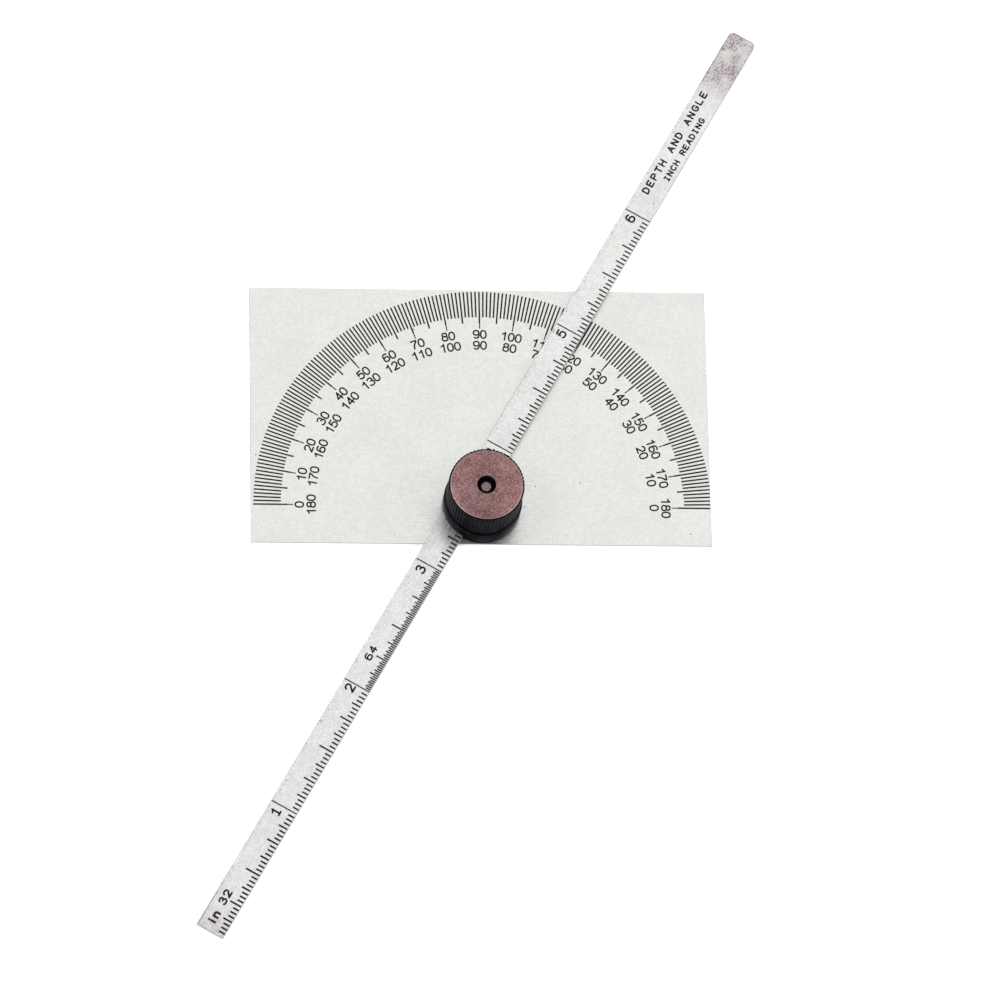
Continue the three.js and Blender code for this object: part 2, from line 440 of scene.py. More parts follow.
GLYPHS: dict[str, tuple[Stroke, ...]] = {
    "0": (oval((MIDDLE, 0.5), (MIDDLE, 0.5)),),
    "1": (line((0.10, 0.76), (0.30, 0.84), (0.40, 1.0), (0.40, 0.0)),),
    "2": (Stroke(bow((MIDDLE, 0.70), (0.29, 0.30), 165, -25) + ((0.02, 0.0), (CELL, 0.0))),),
    "3": (
        Stroke(bow((0.29, 0.77), (0.26, 0.23), 155, -80)),
        Stroke(bow((0.29, 0.28), (0.32, 0.28), 88, -155)),
    ),
    "4": (line((0.47, 0.0), (0.47, 1.0)), line((0.47, 1.0), (0.0, 0.30), (0.66, 0.30))),
    "5": (
        line((0.56, 1.0), (0.12, 1.0), (0.05, 0.50)),
        Stroke(((0.05, 0.50),) + bow((0.29, 0.33), (0.32, 0.33), 118, -150)),
    ),
    "6": SIX,
    "7": (Stroke(((0.0, 1.0), (CELL, 1.0)) + bow((0.82, 0.0), (0.62, 0.86), 118, 180, 2.0)),),
    "8": (oval((MIDDLE, 0.77), (0.26, 0.23)), oval((MIDDLE, 0.28), (MIDDLE, 0.28))),
    "9": turned_over(SIX, CELL),
    "A": (line((0.0, 0.0), (0.33, 1.0), (0.66, 0.0)), line((0.12, 0.34), (0.54, 0.34))),
    "C": (Stroke(bow((0.33, 0.5), (0.33, 0.5), 40, 320)),),
    "D": (Stroke(((0.0, 0.0), (0.0, 1.0)) + bow((0.24, 0.5), (0.38, 0.5), 90, -90) + ((0.0, 0.0),)),),
    "E": (line((0.58, 1.0), (0.0, 1.0), (0.0, 0.0), (0.58, 0.0)), line((0.0, 0.52), (0.48, 0.52))),
    "G": (Stroke(bow((0.33, 0.5), (0.33, 0.5), 40, 345) + ((0.64, 0.45), (0.38, 0.45))),),
    "H": (
        line((0.0, 0.0), (0.0, 1.0)),
        line((CELL, 0.0), (CELL, 1.0)),
        line((0.0, 0.52), (CELL, 0.52)),
    ),
    "I": (
        line((0.31, 0.0), (0.31, 1.0)),
        line((0.14, 1.0), (0.48, 1.0)),
        line((0.14, 0.0), (0.48, 0.0)),
    ),
    "L": (line((0.0, 1.0), (0.0, 0.0), (0.56, 0.0)),),
    "N": (line((0.0, 0.0), (0.0, 1.0), (CELL, 0.0), (CELL, 1.0)),),
    "P": (line((0.0, 0.0), (0.0, 1.0)), Stroke(BOWL)),
    "R": (line((0.0, 0.0), (0.0, 1.0)), Stroke(BOWL), line((0.30, 0.48), (CELL, 0.0))),
    "T": (line((0.0, 1.0), (0.66, 1.0)), line((0.33, 1.0), (0.33, 0.0))),
    "i": (line((0.16, 0.0), (0.16, 0.64)), line((0.16, 0.96), (0.16, 1.0))),
    "n": (
        line((0.0, 0.0), (0.0, 0.66)),
        Stroke(bow((0.27, 0.40), (0.27, 0.26), 180, 0) + ((0.54, 0.0),)),
    ),
}
FOOT_OF_ONE = line((0.16, 0.0), (CELL, 0.0))


@dataclass
class Pen:
    """Draws text as thin slabs of ink let into a face.

    Attributes:
        width: the pen's width.
        height: height of the figures, ink included.
        pitch: advance from one figure to the next.
        bottom: height of the ink's lower face.
        top: height of the ink's upper face.
        stretch: width of a figure against the drawn cell.
        footed: True to give the figure 1 a foot.
        cap_steps: facets of a pull's round end.
        sharpest_bend: a line that bends more than this is cut into two pulls.
        longest_reach: most that a bend may carry the pen's side out, in half widths.
        cut: the characters made so far.
    """

    width: float
    height: float
    pitch: float
    bottom: float
    top: float
    stretch: float = 1.0
    footed: bool = False
    cap_steps: int = 8
    sharpest_bend: float = math.radians(50)
    longest_reach: float = 2.0
    cut: dict[str, MeshDraft] = field(default_factory=dict)

    def _spine(self, stroke: Stroke) -> list[Vector]:
        """The stroke's centre line at its real size."""
        scale = self.height - self.width
        return [Vector((x * scale * self.stretch, y * scale)) for x, y in stroke.points]

    def _pulls(self, spine: list[Vector]) -> list[list[Vector]]:
        """Cuts a centre line at its sharp corners, where the round ends of two pulls make the corner.

        Args:
            spine: the centre line.

        Returns:
            The centre line of each pull.
        """
        pulls = [[spine[0]]]
        for before, corner, after in zip(spine, spine[1:], spine[2:]):
            pulls[-1].append(corner)
            if (corner - before).angle(after - corner) > self.sharpest_bend:
                pulls.append([corner])
        pulls[-1].append(spine[-1])
        return pulls

    def _side(self, spine: list[Vector], sign: float) -> list[Point]:
        """One side of an open pull.

        Args:
            spine: the centre line.
            sign: 1 for the left side, -1 for the right.

        Returns:
            The side's points, from start to end.
        """
        out: list[Point] = []
        for i, point in enumerate(spine):
            before = spine[i] - spine[i - 1] if i > 0 else spine[1] - spine[0]
            after = spine[i + 1] - spine[i] if i + 1 < len(spine) else before
            first = Vector((-before.y, before.x)).normalized()
            last = Vector((-after.y, after.x)).normalized()
            middle = (first + last).normalized()
            reach = sign * self.width / 2 / middle.dot(first)
            out.append(tuple(point + middle * reach))
        return out

    def _cap(self, point: Vector, direction: Vector) -> list[Point]:
        """The round end of an open pull, from its left side round to its right side.

        Args:
            point: where the centre line ends.
            direction: the way that the pen was going there.

        Returns:
            The points between the two sides.
        """
        half = self.width / 2
        base = math.atan2(direction.y, direction.x)
        angles = [base + math.pi / 2 - math.pi * i / self.cap_steps for i in range(1, self.cap_steps)]
        return [(point.x + half * math.cos(a), point.y + half * math.sin(a)) for a in angles]

    def _open_outline(self, spine: list[Vector]) -> list[Point]:
        """The outline of an open pull.

        Args:
            spine: the centre line.

        Returns:
            The counter-clockwise outline.
        """
        left = self._side(spine, 1.0)
        right = self._side(spine, -1.0)
        end = self._cap(spine[-1], spine[-1] - spine[-2])
        start = self._cap(spine[0], spine[0] - spine[1])
        clockwise = left + end + right[::-1] + start
        return clockwise[::-1]

    def _loop_outline(self, spine: list[Vector], offset: float) -> list[Point]:
        """A closed stroke's centre line moved sideways.

        Args:
            spine: the counter-clockwise centre line.
            offset: how far it moves, outwards when positive.

        Returns:
            The counter-clockwise outline.
        """
        out = []
        for i, point in enumerate(spine):
            first = (point - spine[i - 1]).normalized()
            last = (spine[(i + 1) % len(spine)] - point).normalized()
            middle = (Vector((first.y, -first.x)) + Vector((last.y, -last.x))).normalized()
            reach = offset / max(1 / self.longest_reach, middle.dot(Vector((first.y, -first.x))))
            out.append(tuple(point + middle * reach))
        return out

    def _cut_stroke(self, stroke: Stroke) -> list[Piece]:
        """Cuts one stroke as solids.

        Args:
            stroke: the stroke.

        Returns:
            One solid for each pull of the pen.
        """
        spine = self._spine(stroke)
        if stroke.closed:
            half = self.width / 2
            ring = MeshDraft()
            outer, inner = self._loop_outline(spine, half), self._loop_outline(spine, -half)
            ring.add_hoop(outer, inner, self.bottom, self.top)
            return [ring.build("stroke")]
        solids = []
        for pull in self._pulls(spine):
            slab = MeshDraft()
            slab.add_prism(self._open_outline(pull), self.bottom, self.top)
            solids.append(slab.build("stroke"))
        return solids

    def _glyph(self, character: str) -> MeshDraft:
        """A character as one solid at the origin, made once and kept.

        Args:
            character: a character of the pen's alphabet.

        Returns:
            The solid's points and faces.
        """
        if character not in self.cut:
            foot = (FOOT_OF_ONE,) if self.footed and character == "1" else ()
            drawn = GLYPHS[character] + foot
            solid, *others = [part for stroke in drawn for part in self._cut_stroke(stroke)]
            for other in others:
                apply_tool(solid, other, Tooling.WELD)
            mesh = solid.data
            glyph = MeshDraft()
            glyph.add([v.co.copy() for v in mesh.vertices], [tuple(p.vertices) for p in mesh.polygons])
            bpy.data.objects.remove(solid)
            self.cut[character] = glyph
        return self.cut[character]

    def text_width(self, text: str) -> float:
        """Width of a text, ink included, from its first figure's left to its last figure's right."""
        advance = self.pitch * (len(text) - 1)
        return advance + (self.height - self.width) * CELL * self.stretch + self.width

    def write(self, target: MeshDraft, text: str, place: Matrix) -> None:
        """Adds a text whose first figure starts at the place's origin.

        Args:
            target: the draft that takes the ink.
            text: characters of the pen's alphabet, or spaces.
            place: where the text's lower left corner goes, ink included.
        """
        for i, character in enumerate(text):
            if character == " ":
                continue
            glyph = self._glyph(character)
            shift = place @ Matrix.Translation((i * self.pitch + self.width / 2, self.width / 2, 0.0))
            target.add([shift @ point for point in glyph.vertices], glyph.faces)


# ---------------------------------------------------------------------------------------------
# Shader helpers
# ---------------------------------------------------------------------------------------------


@dataclass(frozen=True)
class Spread:
    """A smooth change of a result, from first to last, while a value goes from start to end."""

    start: float
    end: float
    first: float = 0.0
    last: float = 1.0


def even(scale: float) -> Scale:
    """The same scale along all three axes."""
    return (scale, scale, scale)


class Shader:
    """A material under construction, with its principled node at hand."""

    def __init__(self, name: str) -> None:
        """Starts a material.

        Args:
            name: the material's name.
        """
        self.material = bpy.data.materials.new(name)
        self.material.use_nodes = True
        self.tree = self.material.node_tree
        self.principled = self.tree.nodes["Principled BSDF"]
        self.position = self.add("ShaderNodeTexCoord").outputs["Object"]

    def add(self, kind: str, **settings: object) -> bpy.types.Node:
        """Adds a node.

        Args:
            kind: the node's type name.
            **settings: attributes to set on it.

        Returns:
            The new node.
        """
        node = self.tree.nodes.new(kind)
        for key, value in settings.items():
            setattr(node, key, value)
        return node

    def link(self, source: Socket, target: Socket) -> None:
        """Joins two sockets."""
        self.tree.links.new(source, target)

    def split(self, vector: Socket) -> bpy.types.bpy_prop_collection:
        """Takes a vector apart.

        Args:
            vector: the socket of the vector.

        Returns:
            The sockets of its parts, named X, Y and Z.
        """
        parts = self.add("ShaderNodeSeparateXYZ")
        self.link(vector, parts.inputs["Vector"])
        return parts.outputs

    def mapped(self, scale: Scale, turn: float = 0.0) -> Socket:
        """The piece's own coordinates, turned about Z and scaled.

        Args:
            scale: cycles per metre along each turned axis.
            turn: angle of the turned X axis, in radians.

        Returns:
            A vector socket.
        """
        turned = self.add("ShaderNodeMapping")
        turned.inputs["Rotation"].default_value = (0.0, 0.0, -turn)
        self.link(self.position, turned.inputs["Vector"])
        scaled = self.add("ShaderNodeMapping")
        scaled.inputs["Scale"].default_value = scale
        self.link(turned.outputs["Vector"], scaled.inputs["Vector"])
        return scaled.outputs["Vector"]

    def noise(self, vector: Socket, detail: float = 3.0) -> Socket:
        """Fractal noise over a vector.

        Args:
            vector: the socket of the coordinates, one cycle per unit.
            detail: how many finer layers are added.

        Returns:
            The noise, as a value from 0 to 1.
        """
        node = self.add("ShaderNodeTexNoise")
        node.inputs["Scale"].default_value = 1.0
        node.inputs["Detail"].default_value = detail
        self.link(vector, node.inputs["Vector"])
        return node.outputs["Fac"]

    def ramp(self, value: Socket, spread: Spread) -> Socket:
        """Carries a value smoothly from one range to another.

        Args:
            value: the socket of the value.
            spread: the two ranges.

        Returns:
            The new value.
        """
        node = self.add("ShaderNodeMapRange", interpolation_type="SMOOTHSTEP")
        node.inputs["From Min"].default_value = spread.start
        node.inputs["From Max"].default_value = spread.end
        node.inputs["To Min"].default_value = spread.first
        node.inputs["To Max"].default_value = spread.last
        self.link(value, node.inputs["Value"])
        return node.outputs["Result"]

    def _reckon(self, operation: str, first: Socket, second: Socket | float) -> Socket:
        """Works out one value from two others.

        Args:
            operation: the node's name for what is done.
            first: the socket of the first value.
            second: the second value, or its socket.

        Returns:
            The result.
        """
        node = self.add("ShaderNodeMath", operation=operation)
        self.link(first, node.inputs[0])
        if isinstance(second, float):
            node.inputs[1].default_value = second
        else:
            self.link(second, node.inputs[1])
        return node.outputs["Value"]

    def product(self, first: Socket, second: Socket | float) -> Socket:
        """One value times another."""
        return self._reckon("MULTIPLY", first, second)

    def total(self, first: Socket, second: Socket) -> Socket:
        """The sum of two values."""
        return self._reckon("ADD", first, second)

    def larger(self, first: Socket, second: Socket) -> Socket:
        """The larger of two values."""
        return self._reckon("MAXIMUM", first, second)

    def mixture(self, *parts: tuple[Socket, float]) -> Socket:
        """Adds up several patterns.

        Args:
            *parts: each pattern with its own share.

        Returns:
            The sum of the patterns, each times its share.
        """
        mixed, *others = [self.product(pattern, share) for pattern, share in parts]
        for other in others:
            mixed = self.total(mixed, other)
        return mixed

    def blend(self, share: Socket, first: Colour | Socket, second: Colour) -> Socket:
        """A colour between two others.

        Args:
            share: 0 for the first colour, 1 for the second.
            first: a colour, or the socket of one.
            second: a colour.

        Returns:
            The blended colour.
        """
        node = self.add("ShaderNodeMix", data_type="RGBA")
        first_input, second_input = [socket for socket in node.inputs if socket.type == "RGBA"]
        self.link(share, node.inputs["Factor"])
        if isinstance(first, tuple):
            first_input.default_value = (*first, 1.0)
        else:
            self.link(first, first_input)
        second_input.default_value = (*second, 1.0)
        return next(socket for socket in node.outputs if socket.type == "RGBA")

    def facing_up(self) -> Socket:
        """How far the surface faces straight up or down, from 0 to 1."""
        tilt = self.split(self.add("ShaderNodeTexCoord").outputs["Normal"])["Z"]
        return self._reckon("ABSOLUTE", tilt, 0.0)

    def bump(self, height: Socket, depth: float, strength: float) -> None:
        """Roughens the surface by a height pattern.

        Args:
            height: the pattern, from 0 to 1.
            depth: the pattern's full depth.
            strength: share of the effect.
        """
        node = self.add("ShaderNodeBump")
        node.inputs["Strength"].default_value = strength
        node.inputs["Distance"].default_value = depth
        self.link(height, node.inputs["Height"])
        self.link(node.outputs["Normal"], self.principled.inputs["Normal"])

    def set(self, **values: object) -> None:
        """Sets constant values on the principled node.

        Args:
            **values: numbers and colours by socket name, with underscores for spaces.
        """
        for key, value in values.items():
            socket = self.principled.inputs[key.replace("_", " ")]
            socket.default_value = (*value, 1.0) if isinstance(value, tuple) else value

    def colour(self, socket: Socket) -> None:
        """Drives the base colour."""
        self.link(socket, self.principled.inputs["Base Color"])

    def roughness(self, socket: Socket) -> None:
        """Drives the roughness."""
        self.link(socket, self.principled.inputs["Roughness"])


# ---------------------------------------------------------------------------------------------
# Finishes. A pattern's scale is in cycles per metre along each axis, with the grain first.
# ---------------------------------------------------------------------------------------------


@dataclass(frozen=True)
class SatinStainless:
    """Satin rolled stainless: mottled, finely grained, with a few tiny pits, and painted shade on its sides and
    bevelled edges.
    """

    name: str
    colour: Colour
    mottle_colour: Colour
    side_colour: Colour
    corner_colour: Colour
    pit_colour: Colour = (0.20, 0.19, 0.18)
    grain_turn: float = 0.0
    metal_share: float = 0.90
    clouds: Scale = even(130.0)
    cloud_share: float = 0.22
    blots: Scale = even(900.0)
    blot_share: float = 0.30
    specks: Scale = (3000.0, 3600.0, 3600.0)
    speck_share: float = 0.48
    mottled: Spread = Spread(0.40, 0.60)
    corner_tilt: Spread = Spread(0.80, 0.98, 1.0, 0.0)
    side_tilt: Spread = Spread(0.05, 0.40, 1.0, 0.0)
    grain: Scale = (260.0, 6000.0, 6000.0)
    grain_depth: float = 0.004 * MM
    grain_strength: float = 0.12
    grain_roughness: Spread = Spread(0.3, 0.7, 0.22, 0.34)
    pits: Scale = even(210.0)
    pit_reach: Spread = Spread(0.018, 0.036, 1.0, 0.0)
    pit_rarity: Spread = Spread(0.80, 0.82)

    def _mottling(self, shader: Shader) -> Socket:
        """Broad clouds, millimetre blots and fine specks in one pattern.

        Args:
            shader: the shader under construction.

        Returns:
            The pattern, as a value from 0 to 1.
        """
        clouds = shader.noise(shader.mapped(self.clouds, self.grain_turn), detail=2.0)
        blots = shader.noise(shader.mapped(self.blots, self.grain_turn), detail=3.0)
        specks = shader.noise(shader.mapped(self.specks, self.grain_turn), detail=1.0)
        shares = (self.cloud_share, self.blot_share, self.speck_share)
        return shader.mixture(*zip((clouds, blots, specks), shares))

    def _pitting(self, shader: Shader) -> Socket:
        """Tiny round pits, far apart.

        Args:
            shader: the shader under construction.

        Returns:
            The pattern, 1 in a pit and 0 beside it.
        """
        cells = shader.add("ShaderNodeTexVoronoi", feature="F1", voronoi_dimensions="2D")
        cells.inputs["Scale"].default_value = 1.0
        shader.link(shader.mapped(self.pits), cells.inputs["Vector"])
        near = shader.ramp(cells.outputs["Distance"], self.pit_reach)
        return shader.product(near, shader.ramp(cells.outputs["Color"], self.pit_rarity))

    def started(self) -> Shader:
        """Builds the finish and leaves it open for more wear and painted shade.

        Returns:
            The shader, with its colour, roughness and grain set.
        """
        shader = Shader(self.name)
        shader.set(Metallic=self.metal_share)
        mottling = shader.ramp(self._mottling(shader), self.mottled)
        tone = shader.blend(mottling, self.colour, self.mottle_colour)
        tone = shader.blend(self._pitting(shader), tone, self.pit_colour)
        # Painted shade: faces that tilt away from up turn to darker colours, first the bevels and then the sides.
        # These colours stand for the shade along the edges.
        tilt = shader.facing_up()
        tone = shader.blend(shader.ramp(tilt, self.corner_tilt), tone, self.corner_colour)
        shader.colour(shader.blend(shader.ramp(tilt, self.side_tilt), tone, self.side_colour))
        grain = shader.noise(shader.mapped(self.grain, self.grain_turn), detail=4.0)
        shader.roughness(shader.ramp(grain, self.grain_roughness))
        shader.bump(grain, self.grain_depth, self.grain_strength)
        return shader

    def material(self) -> Material:
        """The finish as a material."""
        return self.started().material


@dataclass(frozen=True)
class HandledBlade(SatinStainless):
    """Satin stainless with a spotted plain edge and stained ends, and a line of painted shade round the stained
    ends that stands for their shaded edges.

    Lengths are the blade's own: along it from the pivot, and across it from its graduated edge.
    """

    spots: Scale = (2700.0, 3200.0, 3200.0)
    patches: Scale = even(420.0)
    spot_colour: Colour = (0.36, 0.35, 0.35)
    spotted_edge: Spread = Spread(3.8 * MM, 5.1 * MM)
    spotted: Spread = Spread(0.50, 0.66)
    spotted_patches: Spread = Spread(0.40, 0.60)
    far_stain: Spread = Spread(88 * MM, 93 * MM)
    foot_stain: Spread = Spread(-90 * MM, -85 * MM, 0.5, 0.0)
    stained_tilt: Spread = Spread(0.80, 0.98)
    pink_colour: Colour = (0.60, 0.535, 0.540)
    pink_patches: Spread = Spread(0.30, 0.62, 0.35, 0.90)
    stain_colour: Colour = (0.22, 0.190, 0.200)
    stain_spots: Spread = Spread(0.42, 0.60, 0.0, 0.85)
    stain_patches: Spread = Spread(0.34, 0.60, 0.25, 1.0)
    outline_colour: Colour = (0.17, 0.18, 0.19)
    side_outline: Spread = Spread(4.76 * MM, 5.10 * MM)
    end_outline: Spread = Spread(101.41 * MM, 101.75 * MM)
    foot_outline: Spread = Spread(-90 * MM, -76 * MM, 1.0, 0.0)
    outline_patches: Spread = Spread(0.35, 0.60, 0.55, 0.95)

    def material(self) -> Material:
        """Builds the finish.

        Returns:
            The new material.
        """
        shader = self.started()
        base = shader.principled.inputs["Base Color"].links[0].from_socket
        own = shader.split(shader.mapped(even(1.0), self.grain_turn))
        spots = shader.noise(shader.mapped(self.spots, self.grain_turn))
        patches = shader.noise(shader.mapped(self.patches, self.grain_turn))
        spotted = shader.product(
            shader.ramp(spots, self.spotted), shader.ramp(patches, self.spotted_patches),
        )
        spotted = shader.product(shader.ramp(own["Y"], self.spotted_edge), spotted)
        tone = shader.blend(spotted, base, self.spot_colour)
        far = shader.ramp(own["X"], self.far_stain)
        ends = shader.total(far, shader.ramp(own["X"], self.foot_stain))
        ends = shader.product(ends, shader.ramp(shader.facing_up(), self.stained_tilt))
        pink = shader.product(ends, shader.ramp(patches, self.pink_patches))
        tone = shader.blend(pink, tone, self.pink_colour)
        dark = shader.product(
            shader.ramp(spots, self.stain_spots), shader.ramp(patches, self.stain_patches),
        )
        tone = shader.blend(shader.product(ends, dark), tone, self.stain_colour)
        # Painted shade: a dark line, in patches, along the plain edge and across the far end, only over the
        # stained ends. It stands for the shaded edge break.
        rim = shader.larger(
            shader.ramp(own["Y"], self.side_outline), shader.ramp(own["X"], self.end_outline),
        )
        outline = shader.product(rim, shader.larger(far, shader.ramp(own["X"], self.foot_outline)))
        outline = shader.product(outline, shader.ramp(patches, self.outline_patches))
        shader.colour(shader.blend(outline, tone, self.outline_colour))
        return shader.material


@dataclass(frozen=True)
class EtchedInk:
    """Matte black filling of etched lines, thin and brownish in places."""

    name: str = "etched_ink"
    colour: Colour = (0.008, 0.006, 0.006)
    worn_colour: Colour = (0.030, 0.022, 0.021)
    wear: Scale = even(420.0)
    worn: Spread = Spread(0.42, 0.72)
    tooth: Scale = even(9000.0)
    tooth_depth: float = 0.004 * MM
    tooth_strength: float = 0.5

    def material(self) -> Material:
        """Builds the finish.

        Returns:
            The new material.
        """
        shader = Shader(self.name)
        shader.set(Metallic=0.0, Roughness=0.7, Specular_IOR_Level=0.1)
        wear = shader.noise(shader.mapped(self.wear))
        shader.colour(shader.blend(shader.ramp(wear, self.worn), self.colour, self.worn_colour))
        shader.bump(shader.noise(shader.mapped(self.tooth)), self.tooth_depth, self.tooth_strength)
        return shader.material


@dataclass(frozen=True)
class BlackOxide:
    """Oiled black oxide: dark and bluish, glossy only where it is seen at a slant."""

    name: str
    colour: Colour = (0.0085, 0.0085, 0.0098)
    patch_colour: Colour = (0.0155, 0.0155, 0.0180)
    slant_colour: Colour = (0.45, 0.45, 0.455)
    patches: Scale = even(520.0)
    patched: Spread = Spread(0.38, 0.64)
    rings: Scale = (300.0, 300.0, 11000.0)
    ring_roughness: Spread = Spread(0.3, 0.7, 0.22, 0.36)
    ring_depth: float = 0.006 * MM
    ring_strength: float = 0.25

    def material(self) -> Material:
        """Builds the finish.

        Returns:
            The new material.
        """
        shader = Shader(self.name)
        shader.set(Metallic=1.0, Specular_Tint=self.slant_colour)
        patches = shader.noise(shader.mapped(self.patches), detail=4.0)
        shader.colour(shader.blend(shader.ramp(patches, self.patched), self.colour, self.patch_colour))
        rings = shader.noise(shader.mapped(self.rings))
        shader.roughness(shader.ramp(rings, self.ring_roughness))
        shader.bump(rings, self.ring_depth, self.ring_strength)
        return shader.material


@dataclass(frozen=True)
class BrownedFace:
    """A turned face painted plum brown, finely speckled, with a few dark nicks. Its light tone is painted sheen,
    far lighter than the black oxide of the nut's side, as the face looks with the overhead light on it.
    """

    name: str
    colour: Colour
    pale_colour: Colour
    nick_colour: Colour = (0.090, 0.045, 0.045)
    clouds: Scale = even(500.0)
    cloud_share: float = 0.2
    specks: Scale = even(5000.0)
    speck_share: float = 0.8
    blotted: Spread = Spread(0.42, 0.58)
    nicks: Scale = even(1500.0)
    nick_rarity: Spread = Spread(0.72, 0.76)
    rings_per_metre: float = 9000.0
    ring_roughness: Spread = Spread(0.3, 0.7, 0.34, 0.48)
    ring_depth: float = 0.005 * MM
    ring_strength: float = 0.35

    def _rings(self, shader: Shader) -> Socket:
        """Fine turning rings about the Z axis.

        Args:
            shader: the shader under construction.

        Returns:
            The pattern, as a value from 0 to 1.
        """
        flat = shader.add("ShaderNodeVectorMath", operation="MULTIPLY")
        flat.inputs[1].default_value = (1.0, 1.0, 0.0)
        shader.link(shader.position, flat.inputs[0])
        length = shader.add("ShaderNodeVectorMath", operation="LENGTH")
        shader.link(flat.outputs["Vector"], length.inputs[0])
        radius = shader.add("ShaderNodeCombineXYZ")
        shader.link(shader.product(length.outputs["Value"], self.rings_per_metre), radius.inputs["X"])
        return shader.noise(radius.outputs["Vector"])

    def material(self) -> Material:
        """Builds the finish.

        Returns:
            The new material.
        """
        shader = Shader(self.name)
        shader.set(Metallic=1.0)
        clouds = shader.noise(shader.mapped(self.clouds), detail=2.0)
        specks = shader.noise(shader.mapped(self.specks), detail=2.0)
        blots = shader.mixture((clouds, self.cloud_share), (specks, self.speck_share))
        tone = shader.blend(shader.ramp(blots, self.blotted), self.colour, self.pale_colour)
        nicks = shader.noise(shader.mapped(self.nicks), detail=1.0)
        shader.colour(shader.blend(shader.ramp(nicks, self.nick_rarity), tone, self.nick_colour))
        rings = self._rings(shader)
        shader.roughness(shader.ramp(rings, self.ring_roughness))
        shader.bump(shader.total(rings, specks), self.ring_depth, self.ring_strength)
        return shader.material


@dataclass(frozen=True)
class TurnedSteel:
    """Bare turned steel with fine rings and a faint tarnish, brown and speckled near the top."""

    name: str
    colour: Colour = (0.50, 0.48, 0.46)
    tarnish_colour: Colour = (0.270, 0.178, 0.174)
    speck_colour: Colour = (0.110, 0.070, 0.070)
    tarnish: Scale = even(900.0)
    tarnished: Spread = Spread(0.42, 0.70, 0.0, 0.6)
    browned_height: Spread = Spread(9 * MM, 11 * MM)
    specks: Scale = even(4200.0)
    speckled: Spread = Spread(0.50, 0.66)
    rings: Scale = (200.0, 200.0, 9000.0)
    ring_roughness: Spread = Spread(0.3, 0.7, 0.25, 0.42)
    ring_depth: float = 0.005 * MM
    ring_strength: float = 0.3

    def material(self) -> Material:
        """Builds the finish.

        Returns:
            The new material.
        """
        shader = Shader(self.name)
        shader.set(Metallic=1.0)
        tarnish = shader.ramp(shader.noise(shader.mapped(self.tarnish), detail=4.0), self.tarnished)
        tip = shader.ramp(shader.split(shader.position)["Z"], self.browned_height)
        tone = shader.blend(shader.larger(tarnish, tip), self.colour, self.tarnish_colour)
        specks = shader.ramp(shader.noise(shader.mapped(self.specks), detail=2.0), self.speckled)
        shader.colour(shader.blend(shader.product(specks, tip), tone, self.speck_colour))
        rings = shader.noise(shader.mapped(self.rings))
        shader.roughness(shader.ramp(rings, self.ring_roughness))
        shader.bump(rings, self.ring_depth, self.ring_strength)
        return shader.material


@dataclass(frozen=True)
class PalePaper:
    """White paper on a light table, with a faint cloudiness, open to a look from underneath."""

    name: str = "pale_paper"
    colour: Colour = (0.93, 0.93, 0.93)
    cloud_colour: Colour = (0.91, 0.91, 0.91)
    clouds: Scale = even(30.0)
    glow_colour: Colour = (1.0, 1.0, 1.0)
    glow: float = 0.42

    def material(self) -> Material:
        """Builds the finish.

        Returns:
            The new material.
        """
        shader = Shader(self.name)
        shader.set(Roughness=0.9, Specular_IOR_Level=0.1)
        shader.set(Emission_Color=self.glow_colour, Emission_Strength=self.glow)
        clouds = shader.noise(shader.mapped(self.clouds), detail=2.0)
        shader.colour(shader.blend(clouds, self.colour, self.cloud_colour))
        underside = shader.add("ShaderNodeNewGeometry").outputs["Backfacing"]
        split = shader.add("ShaderNodeMixShader")
        shader.link(underside, split.inputs["Fac"])
        shader.link(shader.principled.outputs["BSDF"], split.inputs[1])
        shader.link(shader.add("ShaderNodeBsdfTransparent").outputs["BSDF"], split.inputs[2])
        shader.link(split.outputs["Shader"], shader.tree.nodes["Material Output"].inputs["Surface"])
        return shader.material


# ---------------------------------------------------------------------------------------------
# Finishing a piece
# ---------------------------------------------------------------------------------------------


def dress(piece: Piece, *materials: Material) -> None:
    """Gives a piece its materials in place of any it has.

    Args:
        piece: the piece.
        *materials: its materials, in slot order.
    """
    piece.data.materials.clear()
    for material in materials:
        piece.data.materials.append(material)


def settle(piece: Piece, body: Body, slot: Slot, *stands_for: str) -> None:
    """Ties a finished piece to its body and hides the solids that it stands for.

    Args:
        piece: the piece.
        body: the body that it rides on.
        slot: not used.
        *stands_for: nodes of the frame that it replaces.
    """
    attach(piece, body.value)
    if stands_for:
        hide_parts(*stands_for)
    LOG.info("%s rides on %s with %d faces", piece.name, body.value, len(piece.data.polygons))


def dress_node(node: str, material: Material) -> None:
    """Gives a solid of the frame a better finish.

    Args:
        node: the node's name.
        material: its new material.
    """
    dress(frame["nodes"][node], material)
    LOG.info("%s keeps its solid and takes %s", node, material.name)


# ---------------------------------------------------------------------------------------------
# Sub-assemblies
# ---------------------------------------------------------------------------------------------


